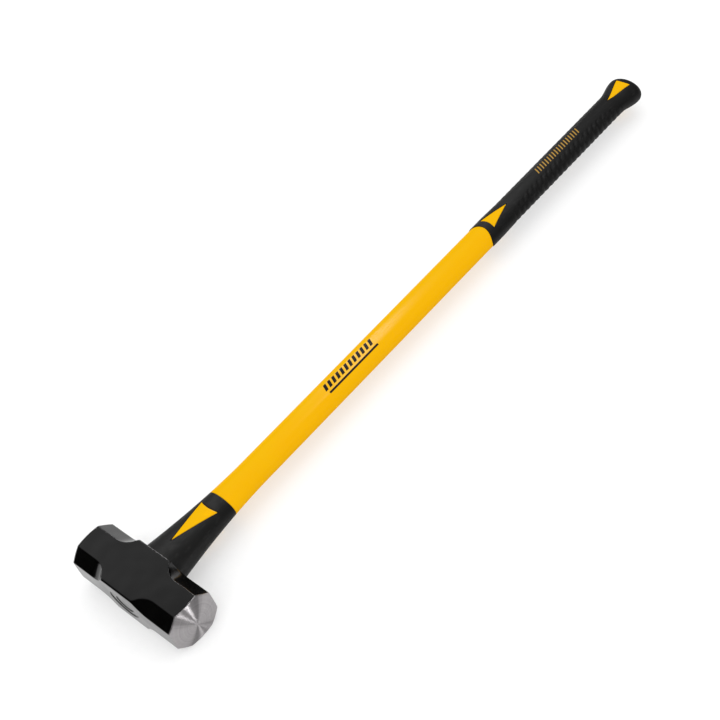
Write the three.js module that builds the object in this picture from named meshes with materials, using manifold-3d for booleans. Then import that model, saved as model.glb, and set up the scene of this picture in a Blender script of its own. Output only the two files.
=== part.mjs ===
// Double-faced sledgehammer with an oval glass-fibre handle.
// Units are millimetres. The hammer lies on its rear cheek: +Z is up, out of the front cheek.
// +X runs along the handle from the head to the butt, and Y runs along the head, face to face.
// The origin is on the rear cheek, straight under the middle of the eye.
import * as THREE from 'three';
import { mergeVertices } from 'three/addons/utils/BufferGeometryUtils.js';
import Module from 'manifold-3d';

const wasm = await Module();
wasm.setup();

// Gap kept between pieces that touch on the real tool.
const FIT = 0.3;

// Head
const HEAD_LENGTH = 165;          // crown to crown, along Y
const HEAD_DEPTH = 56.5;          // along the handle, along X
const CHEEK_TO_CHEEK = 54.5;      // along Z
const CORNER_CUT = 13.8;          // leg of the octagon's corner cuts at both ends
const EDGE_BREAK = 0.8;           // leg of the small edge break on the square middle
const WAIST_HALF = 25;            // half the length of the square middle
const SCOOP_LENGTH = 20;          // run-out of each corner cut into the square middle
const SCOOP_FULLNESS = 0.7;       // 0.5 would be an elliptical run-out, 1 a parabolic one
const SCOOP_STEPS = 8;
const CROWN_RADIUS = 84;          // dome of each striking face
const CROWN_RINGS = 7;
const TURNED_SIDES = 64;

// Eye: an oval hole along X, narrowest in the middle
const EYE_THROAT = { a: 17.5, b: 12.8 };
const EYE_MOUTH = { a: 21, b: 16 };
const EYE_STEPS = 10;

// Handle. Each oval has half-width a along Y and half-height b along Z.
const BUTT_END = 876.75;
const SHAFT = { a: 18.2, b: 12.7 };
const CORE = { a: 14, b: 8.5 };
const CORE_TOP = -24.5;
const CORE_END = 866;
const OVAL_SIDES = 40;
const FLARE_STEPS = 10;
const NECK_STEPS = 10;
const CORNER_STEPS = 7;

// Flare of the handle towards the head
const HEAD_SEAT = HEAD_DEPTH / 2 + FIT;
const FLARE_END = 165;
const FLARE_POWER = 1.8;
const FLARE = { a: 10.95, b: 8.85 };

// Collar
const COLLAR_END = 117.3;
const COLLAR_WALL = 3;

// Grip
const GRIP_SIDE_START = 564.7;    // where the grip starts on the narrow sides
const GRIP_TONGUE = 7.3;          // how much later it starts on the broad sides
const GRIP_WALL = 2.2;
const GRIP_BULGE = 0.7;
const GRIP_BULGE_START = 588;      // the bulge is at its full height up to here
const GRIP_BULGE_END = 612;
const NECK_START = 836;
const KNOB_X = 866.5;
const KNOB = { a: 23.4, b: 16.9 };
const KNOB_CORNER = 10;

// Filling of the eye
const RESIN_TOP = -HEAD_DEPTH / 2 + 1.2;
const DAM_THICKNESS = 3.5;

// Triangular windows, seen from above: tip and base along X, half-width along Y, hollow of the base
const COLLAR_WINDOW = { tip: 48.8, base: 102, half: 12.3, hollow: 2.4 };
const GRIP_WINDOW = { tip: 617.3, base: 579.8, half: 10.4, hollow: 1.6 };
const BUTT_WINDOW = { tip: 831, base: 866, half: 10, hollow: 1.2 };
const WINDOW_GAP = 0.35;
const BOSS_SETBACK = 0.25;
const BOSS_ROOT = 9.6;

const MIDDLE_Z = CHEEK_TO_CHEEK / 2;

const finishes = {
  steel: { color: 0x26272a, roughness: 0.28, metalness: 0.6 },
  yellow: { color: 0xf6b40a, roughness: 0.42, metalness: 0 },
  rubber: { color: 0x232325, roughness: 0.7, metalness: 0 },
  glassFibre: { color: 0xd9cfa6, roughness: 0.55, metalness: 0 },
  resin: { color: 0x17171a, roughness: 0.35, metalness: 0 },
  foam: { color: 0x3a3a3c, roughness: 0.9, metalness: 0 },
};

// ---- mesh tools -----------------------------------------------------------------------------

function toSolid(geometry) {
  const bare = geometry.clone();
  bare.deleteAttribute('normal');
  bare.deleteAttribute('uv');
  const merged = mergeVertices(bare, 1e-4);
  return new wasm.Manifold(new wasm.Mesh({
    numProp: 3,
    vertProperties: new Float32Array(merged.attributes.position.array),
    triVerts: new Uint32Array(merged.index.array),
  }));
}

function toGeometry(solid) {
  const mesh = solid.getMesh();
  const geometry = new THREE.BufferGeometry();
  geometry.setAttribute('position', new THREE.BufferAttribute(mesh.vertProperties, 3));
  geometry.setIndex(new THREE.BufferAttribute(mesh.triVerts, 1));
  geometry.computeVertexNormals();
  return geometry;
}

// Joins rings of equal length into one skin. The ends are closed by fans, or the last ring is
// joined to the first one when the rings close on themselves.
function loft(rings, closesOnItself = false) {
  const sides = rings[0].length;
  const positions = rings.flat(2);
  const triangles = [];
  const strips = closesOnItself ? rings.length : rings.length - 1;
  for (let i = 0; i < strips; i += 1) {
    const near = i * sides;
    const far = ((i + 1) % rings.length) * sides;
    for (let j = 0; j < sides; j += 1) {
      const next = (j + 1) % sides;
      triangles.push(near + j, far + next, far + j);
      triangles.push(near + j, near + next, far + next);
    }
  }
  if (!closesOnItself) {
    const last = (rings.length - 1) * sides;
    for (let j = 1; j < sides - 1; j += 1) {
      triangles.push(0, j + 1, j);
      triangles.push(last, last + j, last + j + 1);
    }
  }
  const geometry = new THREE.BufferGeometry();
  geometry.setAttribute('position', new THREE.Float32BufferAttribute(positions, 3));
  geometry.setIndex(triangles);
  geometry.computeVertexNormals();
  return geometry;
}

// An oval ring across the handle. x is a number, or a function of the angle round the ring.
function ovalRing(x, { a, b }) {
  return Array.from({ length: OVAL_SIDES }, (_, j) => {
    const angle = (2 * Math.PI * j) / OVAL_SIDES;
    const along = typeof x === 'function' ? x(angle) : x;
    return [along, a * Math.cos(angle), MIDDLE_Z + b * Math.sin(angle)];
  });
}

const shrink = ({ a, b }, by) => ({ a: a - by, b: b - by });
const mix = (from, to, t) => from + (to - from) * t;
const mixOval = (from, to, t) => ({ a: mix(from.a, to.a, t), b: mix(from.b, to.b, t) });

function steps(from, to, count) {
  return Array.from({ length: count + 1 }, (_, i) => mix(from, to, i / count));
}

function piece(name, geometry, finish) {
  const mesh = new THREE.Mesh(geometry, new THREE.MeshStandardMaterial(finish));
  mesh.name = name;
  return mesh;
}

// ---- outer form of the handle ---------------------------------------------------------------

function flareAt(x) {
  const along = Math.min(1, Math.max(0, (x - HEAD_SEAT) / (FLARE_END - HEAD_SEAT)));
  const share = (1 - along) ** FLARE_POWER;
  return { a: SHAFT.a + FLARE.a * share, b: SHAFT.b + FLARE.b * share };
}

function knobAt(x) {
  if (x > KNOB_X) {
    const past = (x - KNOB_X) / (BUTT_END - KNOB_X);
    const round = KNOB_CORNER * (1 - Math.sqrt(Math.max(0, 1 - past * past)));
    return shrink(KNOB, round);
  }
  const rise = (x - NECK_START) / (KNOB_X - NECK_START);
  return mixOval(SHAFT, KNOB, 0.5 - 0.5 * Math.cos(Math.PI * rise));
}

function gripAt(x) {
  if (x > NECK_START) {
    return knobAt(x);
  }
  const share = (GRIP_BULGE_END - x) / (GRIP_BULGE_END - GRIP_BULGE_START);
  return shrink(SHAFT, -GRIP_BULGE * Math.min(1, Math.max(0, share)));
}

// ---- triangular windows and the bosses that fill them -----------------------------------------

// A prism on a triangle with a hollow base, grown by a margin, from one height to another.
function trianglePrism(window, margin, bottom, top) {
  const towardsTip = Math.sign(window.tip - window.base);
  const length = Math.abs(window.tip - window.base);
  const slant = Math.hypot(length, window.half) / window.half;
  const tip = window.tip + towardsTip * margin * slant;
  const base = window.base - towardsTip * margin;
  const half = window.half * (Math.abs(tip - base) / length);
  const middle = base + towardsTip * window.hollow * 2;
  const outline = new THREE.Shape();
  outline.moveTo(tip, 0);
  outline.lineTo(base, half);
  outline.quadraticCurveTo(middle, 0, base, -half);
  outline.closePath();
  const settings = { depth: top - bottom, bevelEnabled: false, curveSegments: 6 };
  const prism = new THREE.ExtrudeGeometry(outline, settings);
  prism.translate(0, 0, bottom);
  return toSolid(prism);
}

// The same window on the front and on the rear of the handle.
function windowPair(window, margin, root) {
  const reach = CHEEK_TO_CHEEK;
  const front = trianglePrism(window, margin, MIDDLE_Z + root, MIDDLE_Z + reach);
  const rear = trianglePrism(window, margin, MIDDLE_Z - reach, MIDDLE_Z - root);
  return front.add(rear);
}

// The outer form of the handle, just under its surface, for cutting bosses to height.
function formOn(stations, ovalAt) {
  return toSolid(loft(stations.map((x) => ovalRing(x, shrink(ovalAt(x), BOSS_SETBACK)))));
}

// ---- pieces -----------------------------------------------------------------------------------

function cornerCutAt(y) {
  const past = Math.abs(y) - WAIST_HALF;
  if (past <= 0) {
    return EDGE_BREAK;
  }
  const left = 1 - Math.min(1, past / SCOOP_LENGTH);
  return EDGE_BREAK + (CORNER_CUT - EDGE_BREAK) * (1 - left * left) ** SCOOP_FULLNESS;
}

function headSection(y) {
  const side = HEAD_DEPTH / 2;
  const cut = cornerCutAt(y);
  const x = side - cut;
  const low = cut;
  const high = CHEEK_TO_CHEEK - cut;
  return [
    [-side, y, low], [-side, y, high], [-x, y, CHEEK_TO_CHEEK], [x, y, CHEEK_TO_CHEEK],
    [side, y, high], [side, y, low], [x, y, 0], [-x, y, 0],
  ];
}

function scoopStations() {
  return Array.from({ length: SCOOP_STEPS + 1 }, (_, i) => {
    const angle = (Math.PI / 2) * (i / SCOOP_STEPS);
    return WAIST_HALF + SCOOP_LENGTH * (1 - Math.cos(angle));
  });
}

function headBlank() {
  const half = [...scoopStations(), HEAD_LENGTH / 2 + 2];
  const stations = [...half.map((y) => -y).reverse(), ...half];
  return toSolid(loft(stations.map(headSection)));
}

function crownBarrel() {
  const reach = HEAD_DEPTH;
  const centre = HEAD_LENGTH / 2 - CROWN_RADIUS;
  const dome = Array.from({ length: CROWN_RINGS + 1 }, (_, i) => {
    const angle = Math.asin(reach / CROWN_RADIUS) * (i / CROWN_RINGS);
    return new THREE.Vector2(CROWN_RADIUS * Math.sin(angle), centre + CROWN_RADIUS * Math.cos(angle));
  });
  const lower = dome.map((point) => new THREE.Vector2(point.x, -point.y));
  const barrel = new THREE.LatheGeometry([...lower, ...dome.reverse()], TURNED_SIDES);
  barrel.translate(0, 0, MIDDLE_Z);
  return toSolid(barrel);
}

function eyeAt(x) {
  const share = (2 * Math.abs(x)) / HEAD_DEPTH;
  return mixOval(EYE_THROAT, EYE_MOUTH, share * share);
}

function makeHead() {
  const past = HEAD_DEPTH / 2 + 1;
  const eye = toSolid(loft(steps(-past, past, EYE_STEPS).map((x) => ovalRing(x, eyeAt(x)))));
  const solid = headBlank().intersect(crownBarrel()).subtract(eye);
  return piece('head', toGeometry(solid), finishes.steel);
}

function makeCoreRod() {
  const geometry = loft([ovalRing(CORE_TOP, CORE), ovalRing(CORE_END, CORE)]);
  return piece('core_rod', geometry, finishes.glassFibre);
}

function makeEyeResin() {
  const bottom = HEAD_DEPTH / 2 - DAM_THICKNESS - FIT;
  const inner = shrink(CORE, -FIT);
  const outside = steps(RESIN_TOP, bottom, EYE_STEPS).map((x) => ovalRing(x, shrink(eyeAt(x), FIT)));
  const inside = [ovalRing(bottom, inner), ovalRing(CORE_TOP - FIT, inner)];
  return piece('eye_resin', loft([...outside, ...inside]), finishes.resin);
}

function makeEyeDam() {
  const top = HEAD_DEPTH / 2 - DAM_THICKNESS;
  const bottom = HEAD_DEPTH / 2;
  const outside = [top, bottom].map((x) => ovalRing(x, shrink(eyeAt(x), FIT)));
  const inside = [bottom, top].map((x) => ovalRing(x, shrink(CORE, -FIT)));
  return piece('eye_dam', loft([...outside, ...inside], true), finishes.foam);
}

function collarBore(x) {
  return shrink(flareAt(x), COLLAR_WALL);
}

function makeCollar() {
  const stations = steps(HEAD_SEAT, COLLAR_END, FLARE_STEPS);
  const outside = stations.map((x) => ovalRing(x, flareAt(x)));
  const inside = stations.map((x) => ovalRing(x, collarBore(x))).reverse();
  const sleeve = toSolid(loft([...outside, ...inside], true));
  const solid = sleeve.subtract(windowPair(COLLAR_WINDOW, WINDOW_GAP, BOSS_ROOT));
  return piece('overstrike_collar', toGeometry(solid), finishes.rubber);
}

// The grip starts later on the broad sides, so its edge is a wave round the handle.
const gripEdge = (angle) => GRIP_SIDE_START + GRIP_TONGUE * Math.sin(angle) ** 2;
const jacketUnderGrip = shrink(SHAFT, GRIP_WALL + FIT);

function gripStations() {
  const bulge = steps(GRIP_BULGE_START, GRIP_BULGE_END, 2);
  const neck = steps(NECK_START, KNOB_X, NECK_STEPS);
  const corner = Array.from({ length: CORNER_STEPS }, (_, i) => {
    const angle = (Math.PI / 2) * ((i + 1) / CORNER_STEPS);
    return KNOB_X + (BUTT_END - KNOB_X) * Math.sin(angle);
  });
  return [...bulge, ...neck, ...corner];
}

function makeGrip() {
  const bore = shrink(SHAFT, GRIP_WALL);
  const boreEnd = CORE_END + 2 + FIT;
  const inside = [ovalRing(boreEnd, bore), ovalRing(gripEdge, bore)];
  const start = ovalRing(gripEdge, gripAt(GRIP_SIDE_START));
  const outside = gripStations().map((x) => ovalRing(x, gripAt(x)));
  const sleeve = toSolid(loft([...inside, start, ...outside]));
  const solid = sleeve
    .subtract(windowPair(GRIP_WINDOW, WINDOW_GAP, BOSS_ROOT))
    .subtract(windowPair(BUTT_WINDOW, WINDOW_GAP, BOSS_ROOT));
  return piece('grip', toGeometry(solid), finishes.rubber);
}

function jacketBody() {
  const bore = shrink(CORE, -FIT);
  const end = CORE_END + 2;
  const underCollar = steps(HEAD_SEAT + FIT, COLLAR_END + FIT, FLARE_STEPS);
  const flare = steps(COLLAR_END + FIT, FLARE_END, FLARE_STEPS / 2);
  const gripSide = (angle) => gripEdge(angle) - FIT;
  const rings = [
    ovalRing(CORE_END + FIT, bore),
    ovalRing(HEAD_SEAT + FIT, bore),
    ...underCollar.map((x) => ovalRing(x, shrink(collarBore(x), FIT))),
    ...flare.map((x) => ovalRing(x, flareAt(x))),
    ovalRing(gripSide, SHAFT),
    ovalRing(gripSide, jacketUnderGrip),
    ovalRing(end, jacketUnderGrip),
  ];
  return toSolid(loft(rings));
}

function bosses() {
  const collarForm = formOn(steps(HEAD_SEAT, COLLAR_END, FLARE_STEPS), flareAt);
  const gripForm = formOn([GRIP_SIDE_START, GRIP_BULGE_START, GRIP_BULGE_END, NECK_START], gripAt);
  const buttForm = formOn([GRIP_BULGE_END, ...steps(NECK_START, KNOB_X, NECK_STEPS)], gripAt);
  return windowPair(COLLAR_WINDOW, 0, BOSS_ROOT).intersect(collarForm)
    .add(windowPair(GRIP_WINDOW, 0, BOSS_ROOT).intersect(gripForm))
    .add(windowPair(BUTT_WINDOW, 0, BOSS_ROOT).intersect(buttForm));
}

function makeJacket() {
  return piece('shaft_jacket', toGeometry(jacketBody().add(bosses())), finishes.yellow);
}

const sledgehammer = new THREE.Group();
sledgehammer.add(makeHead());
sledgehammer.add(makeCoreRod());
sledgehammer.add(makeEyeResin());
sledgehammer.add(makeEyeDam());
sledgehammer.add(makeCollar());
sledgehammer.add(makeGrip());
sledgehammer.add(makeJacket());

export default sledgehammer;
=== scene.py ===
"""Looks of a double-faced sledgehammer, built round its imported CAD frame.

Shapes are worked out in millimetres in the CAD's own frame and stored in metres.
+X runs along the handle from the head to the butt, +Y along the head, +Z out of the front cheek.
"""
import math

import bmesh
import bpy
import numpy as np
from mathutils import Matrix, Vector
from mathutils.geometry import delaunay_2d_cdt


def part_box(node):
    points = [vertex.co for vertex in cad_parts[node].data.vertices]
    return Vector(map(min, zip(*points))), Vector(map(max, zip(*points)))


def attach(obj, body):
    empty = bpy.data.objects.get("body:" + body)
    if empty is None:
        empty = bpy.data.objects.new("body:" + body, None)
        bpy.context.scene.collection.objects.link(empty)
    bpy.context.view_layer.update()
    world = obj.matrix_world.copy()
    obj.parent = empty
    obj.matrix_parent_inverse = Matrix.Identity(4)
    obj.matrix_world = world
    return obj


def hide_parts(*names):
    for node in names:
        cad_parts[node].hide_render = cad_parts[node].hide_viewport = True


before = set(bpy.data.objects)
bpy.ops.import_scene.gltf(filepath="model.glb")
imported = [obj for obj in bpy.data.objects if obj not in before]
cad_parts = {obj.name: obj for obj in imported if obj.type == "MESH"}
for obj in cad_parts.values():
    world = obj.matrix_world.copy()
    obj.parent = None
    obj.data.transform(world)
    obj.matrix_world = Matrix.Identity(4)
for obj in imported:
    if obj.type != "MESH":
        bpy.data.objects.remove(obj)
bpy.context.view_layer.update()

MM = 0.001


def box_mm(node):
    low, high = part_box(node)
    return low / MM, high / MM


# ---- sizes taken from the CAD nodes ----

HEAD_LOW, HEAD_HIGH = box_mm("head")
COLLAR_LOW, COLLAR_HIGH = box_mm("overstrike_collar")
GRIP_LOW, GRIP_HIGH = box_mm("grip")
JACKET_LOW, JACKET_HIGH = box_mm("shaft_jacket")
CORE_LOW, CORE_HIGH = box_mm("core_rod")
DAM_LOW, DAM_HIGH = box_mm("eye_dam")

SIDE = HEAD_HIGH.x
CHEEK = HEAD_HIGH.z
MIDDLE_Z = CHEEK / 2
FACE_REACH = HEAD_HIGH.y
CORE = ((CORE_HIGH.y - CORE_LOW.y) / 2, (CORE_HIGH.z - CORE_LOW.z) / 2)
FLARE_BASE = (COLLAR_HIGH.y, COLLAR_HIGH.z - MIDDLE_Z)
KNOB = (GRIP_HIGH.y, GRIP_HIGH.z - MIDDLE_Z)

# ---- sizes that no box gives ----

CORNER_CUT = 13.8
COLLAR_SIDE_BREAK = 0.8    # edge break of the square middle, as in the CAD
EYE_SIDE_BREAK = 1.6       # wider than in the CAD: the photo has a thin black line here
WAIST_HALF = 25
SCOOP_LENGTH = 20
SCOOP_FULLNESS = 0.7
SCOOP_SOFTNESS = 2.2       # half-width over which the shoulders of the scoops are rounded
HEAD_EDGE = 0.7            # radius of the forging's long edges
CROWN_RADIUS = 84
FACE_SKIN = 1.0            # how far the bare steel of a striking face reaches round its rim
RIM_RADIUS = 0.7
# Gap between pieces that touch. Behind the striking faces the meshes still cross, by up to 0.22 mm,
# because the head and the faces follow the crown with different rings (CAP_SHARES, BACK_SHARES).
SEAM = 0.02

# Ovals are (half-width along Y, half-height along Z)
EYE_THROAT = (17.5, 12.8)
EYE_MOUTH = (21.0, 16.0)
EYE_LIP = 0.3

SHAFT = (18.2, 12.7)
FLARE_END = 165
FLARE_POWER = 1.8
COLLAR_WALL = 3
GRIP_WALL = 2.2
GRIP_TONGUE = 7.3
GRIP_BULGE = 0.7
GRIP_BULGE_START = 588
GRIP_BULGE_END = 612
NECK_START = 836
KNOB_X = 866.5
KNOB_CORNER = 10
INNER_GAP = 0.3

COLLAR_WINDOW = {"tip": 48.8, "base": 102, "half": 12.3, "hollow": 2.4}
GRIP_WINDOW = {"tip": 617.3, "base": 579.8, "half": 10.4, "hollow": 1.6}
BUTT_WINDOW = {"tip": 831, "base": 866, "half": 10, "hollow": 1.2}
WINDOW_GAP = 0.42          # groove between a boss and its window
WINDOW_LIP = 0.35
WINDOW_PAD = 1.2           # how far round a window its surface is meshed anew
WINDOW_CLEARANCE = 0.3     # from a window to the nearest loose point
LIP_STEPS = 4
BOSS_SETBACK = 0.25
BOSS_LIP = 0.3
BOSS_SPACING = 1.7         # between the points on top of a boss
FRONT_AND_REAR = (1, -1)

COLUMNS = 168
ANGLES = np.arange(COLUMNS) * (2 * math.pi / COLUMNS)

# ---- camera ----

CAMERA_TARGET = Vector((0.3448, 0.0029, 0.02725))
CAMERA_DISTANCE = 1.47095
CAMERA_AZIMUTH = math.radians(-34.49)
CAMERA_ELEVATION = math.radians(46.03)
CAMERA_ROLL = math.radians(-19.39)
CAMERA_LENS = 65.634


def make_camera():
    data = bpy.data.cameras.new("camera")
    data.lens = CAMERA_LENS
    data.sensor_width = 36
    camera = bpy.data.objects.new("camera", data)
    bpy.context.scene.collection.objects.link(camera)
    flat = math.cos(CAMERA_ELEVATION)
    back = Vector((
        math.sin(CAMERA_AZIMUTH) * flat,
        -math.cos(CAMERA_AZIMUTH) * flat,
        math.sin(CAMERA_ELEVATION),
    ))
    turn = (-back).to_track_quat("-Z", "Y").to_matrix().to_4x4()
    roll = Matrix.Rotation(CAMERA_ROLL, 4, "Z")
    place = Matrix.Translation(CAMERA_TARGET + back * CAMERA_DISTANCE)
    camera.matrix_world = place @ turn @ roll
    bpy.context.scene.camera = camera


make_camera()


# ---- mesh tools ----

def inside_loop(point, loop):
    """Whether a 2D point lies inside a closed loop of 2D points."""
    x, y = point
    start = np.asarray(loop)
    end = np.roll(start, -1, axis=0)
    crosses = (start[:, 1] > y) != (end[:, 1] > y)
    start, end = start[crosses], end[crosses]
    share = (y - start[:, 1]) / (end[:, 1] - start[:, 1])
    return np.count_nonzero(x < start[:, 0] + share * (end[:, 0] - start[:, 0])) % 2 == 1


def distance_to_loop(point, loop):
    return np.hypot(*(np.asarray(loop) - np.asarray(point)).T).min()


def turns_left(loop):
    loop = np.asarray(loop)
    after = np.roll(loop, -1, axis=0)
    return np.sum(loop[:, 0] * after[:, 1] - after[:, 0] * loop[:, 1]) > 0


def chart_triangles(border, hole, loose):
    """Triangles through loose points, between a border and a hole.

    Both are closed 2D loops, and the hole may be empty.
    """
    points = [Vector(p) for p in [*border, *hole, *loose]]
    face = list(range(len(border)))
    if not turns_left(border):
        face.reverse()
    first = len(border)
    edges = [(first + i, first + (i + 1) % len(hole)) for i in range(len(hole))]
    found = delaunay_2d_cdt(points, edges, [face], 1, 1e-7)
    origin = [ids[0] for ids in found[3]]
    triangles = []
    for corners in found[2]:
        corners = tuple(origin[i] for i in corners)
        middle = sum((points[i] for i in corners), Vector((0, 0))) / len(corners)
        if not len(hole) or not inside_loop(middle, hole):
            triangles.append(corners)
    return triangles


class Skin:
    """Points in millimetres and the faces between them."""

    def __init__(self):
        self.points = []
        self.faces = []

    def add(self, points):
        """Adds points and returns their indices."""
        first = len(self.points)
        self.points.extend(tuple(float(c) for c in p) for p in points)
        return np.arange(first, len(self.points))

    def strip(self, near, far):
        """Quads between two closed rings of equal length."""
        near_next, far_next = np.roll(near, -1), np.roll(far, -1)
        quads = np.stack([near, near_next, far_next, far], axis=1)
        self.faces.extend(map(tuple, quads.tolist()))

    def strips(self, rings):
        for near, far in zip(rings[:-1], rings[1:]):
            self.strip(near, far)

    def grid(self, rings, left_out=frozenset()):
        """Quads over a grid of rings, apart from the cells (row, column) that are left out."""
        sides = len(rings[0])
        for row in range(len(rings) - 1):
            for column in range(sides):
                if (row, column) in left_out:
                    continue
                after = (column + 1) % sides
                self.faces.append((
                    int(rings[row][column]), int(rings[row][after]),
                    int(rings[row + 1][after]), int(rings[row + 1][column]),
                ))

    def fan(self, ring, centre):
        """Closes a ring with triangles to one new point."""
        middle = int(self.add([centre])[0])
        for here, after in zip(ring.tolist(), np.roll(ring, -1).tolist()):
            self.faces.append((here, after, middle))

    def to_object(self, name, **values):
        """A mesh object in metres with its faces turned outwards, and named values on its first points."""
        mesh = bpy.data.meshes.new(name)
        scaled = [tuple(c * MM for c in p) for p in self.points]
        mesh.from_pydata(scaled, [], self.faces)
        for key, numbers in values.items():
            every = np.zeros(len(self.points), np.float32)
            every[:len(numbers)] = numbers
            mesh.attributes.new(key, "FLOAT", "POINT").data.foreach_set("value", every)
        work = bmesh.new()
        work.from_mesh(mesh)
        unused = [v for v in work.verts if not v.link_faces]
        bmesh.ops.delete(work, geom=unused, context="VERTS")
        bmesh.ops.recalc_face_normals(work, faces=work.faces)
        for face in work.faces:
            face.smooth = True
        work.to_mesh(mesh)
        work.free()
        mesh.validate()
        made = bpy.data.objects.new(name, mesh)
        bpy.context.scene.collection.objects.link(made)
        return made


class Patch:
    """A rectangle of a skin's grid that is opened round an outline, in a flat chart of the surface."""

    def __init__(self, skin, rings, rows, columns, chart):
        self.skin = skin
        self.rings = rings
        self.rows = rows
        self.columns = columns
        self.chart = chart

    def cells(self):
        first_row, last_row = self.rows
        first, last = self.columns
        return {(r, c) for r in range(first_row, last_row) for c in range(first, last)}

    def border(self):
        first_row, last_row = self.rows
        first, last = self.columns
        ids = [self.rings[first_row][c] for c in range(first, last)]
        ids += [self.rings[r][last] for r in range(first_row, last_row)]
        ids += [self.rings[last_row][c] for c in range(last, first, -1)]
        ids += [self.rings[r][first] for r in range(last_row, first_row, -1)]
        return [int(i) for i in ids]

    def open_round(self, ring, clearance):
        """Fills the rectangle with triangles up to the ring of points already added."""
        points = self.skin.points
        border = self.border()
        ring = [int(i) for i in ring]
        outline = [self.chart(points[i]) for i in ring]
        loose = []
        for r in range(self.rows[0] + 1, self.rows[1]):
            for c in range(self.columns[0] + 1, self.columns[1]):
                index = int(self.rings[r][c])
                spot = self.chart(points[index])
                if not inside_loop(spot, outline) and distance_to_loop(spot, outline) > clearance:
                    loose.append(index)
        ids = border + ring + loose
        spots = [self.chart(points[i]) for i in ids]
        edge, rest = len(border), len(border) + len(ring)
        for corners in chart_triangles(spots[:edge], spots[edge:rest], spots[rest:]):
            self.skin.faces.append(tuple(ids[i] for i in corners))


def cap_loop(skin, ring, chart, lift, spacing):
    """Covers a closed ring with triangles over points on the surface that lift gives."""
    outline = [chart(skin.points[int(i)]) for i in ring]
    low = np.min(outline, axis=0)
    high = np.max(outline, axis=0)
    spots = []
    for u in np.arange(low[0] + spacing / 2, high[0], spacing):
        for v in np.arange(low[1] + spacing / 2, high[1], spacing):
            if inside_loop((u, v), outline) and distance_to_loop((u, v), outline) > 0.6 * spacing:
                spots.append((u, v))
    added = skin.add([lift(u, v) for u, v in spots])
    ids = [int(i) for i in ring] + [int(i) for i in added]
    for corners in chart_triangles(outline, [], spots):
        skin.faces.append(tuple(ids[i] for i in corners))


def quarter(count):
    """(1 - sin, 1 - cos) steps round a quarter circle, from (1, 0) to (0, 1)."""
    turns = np.linspace(0, math.pi / 2, count + 1)
    return [(1 - math.sin(t), 1 - math.cos(t)) for t in turns]


# ---- form of the handle ----

def flare_at(x):
    along = np.clip((x - COLLAR_LOW.x) / (FLARE_END - COLLAR_LOW.x), 0, 1)
    share = (1 - along) ** FLARE_POWER
    return tuple(thin + (wide - thin) * share for thin, wide in zip(SHAFT, FLARE_BASE))


def knob_at(x):
    past = np.clip((x - KNOB_X) / (GRIP_HIGH.x - KNOB_X), 0, 1)
    inset = KNOB_CORNER * (1 - np.sqrt(1 - past * past))
    rise = np.clip((x - NECK_START) / (KNOB_X - NECK_START), 0, 1)
    ease = 0.5 - 0.5 * np.cos(np.pi * rise)
    return tuple(thin + (wide - thin) * ease - inset for thin, wide in zip(SHAFT, KNOB))


def grip_at(x):
    bulge = GRIP_BULGE * np.clip((GRIP_BULGE_END - x) / (GRIP_BULGE_END - GRIP_BULGE_START), 0, 1)
    return tuple(half + bulge for half in knob_at(x))


def grip_edge(angles):
    return GRIP_LOW.x + GRIP_TONGUE * np.sin(angles) ** 2


def shrink(oval, by):
    return tuple(half - by for half in oval)


def oval_row(x, oval, relief=0.0):
    """A ring of points across the handle, raised by relief along the surface normal."""
    a, b = oval
    out_y, out_z = np.cos(ANGLES) / a, np.sin(ANGLES) / b
    length = np.hypot(out_y, out_z)
    along = np.broadcast_to(x, ANGLES.shape)
    y = a * np.cos(ANGLES) + relief * out_y / length
    z = MIDDLE_Z + b * np.sin(ANGLES) + relief * out_z / length
    return np.stack([along, y, z], axis=1)


# ---- triangular windows and bosses ----

SIDE_POINTS = 58
BASE_POINTS = 26
CORNER_POINTS = 4
CORNER_REACH = 0.8


def window_outline(window, margin):
    """(x, y) points round a triangle with a hollow base and eased corners, grown by a margin."""
    towards_tip = 1 if window["tip"] > window["base"] else -1
    length = abs(window["tip"] - window["base"])
    slant = math.hypot(length, window["half"]) / window["half"]
    tip = Vector((window["tip"] + towards_tip * margin * slant, 0))
    base = window["base"] - towards_tip * margin
    half = window["half"] * abs(tip.x - base) / length
    right = Vector((base, half))
    left = Vector((base, -half))
    middle = Vector((base + towards_tip * window["hollow"] * 2, 0))

    def straight(start, end):
        return lambda t: start.lerp(end, t)

    def hollow(t):
        return right * (1 - t) ** 2 + middle * (2 * t * (1 - t)) + left * t ** 2

    sides = [(straight(tip, right), SIDE_POINTS), (hollow, BASE_POINTS), (straight(left, tip), SIDE_POINTS)]
    points = []
    for index, (curve, count) in enumerate(sides):
        span = (curve(1) - curve(0)).length
        first = CORNER_REACH / span
        points += [curve(first + (1 - 2 * first) * i / count) for i in range(count + 1)]
        following = sides[(index + 1) % 3][0]
        next_span = (following(1) - following(0)).length
        start, corner, end = curve(1 - first), curve(1), following(CORNER_REACH / next_span)
        for step in range(1, CORNER_POINTS):
            t = step / CORNER_POINTS
            points.append(start * (1 - t) ** 2 + corner * (2 * t * (1 - t)) + end * t ** 2)
    return [(p.x, p.y) for p in points]


def plan(point):
    """The chart for the front and rear of the handle: seen straight from above."""
    return (point[0], point[1])


def on_oval(form, x, y, front, drop=0.0):
    """The point at (x, y) on the front or rear of a form, sunk by drop."""
    a, b = form(x)
    height = b * math.sqrt(max(0.0, 1 - (y / a) ** 2)) - drop
    return (x, y, MIDDLE_Z + front * height)


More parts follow.
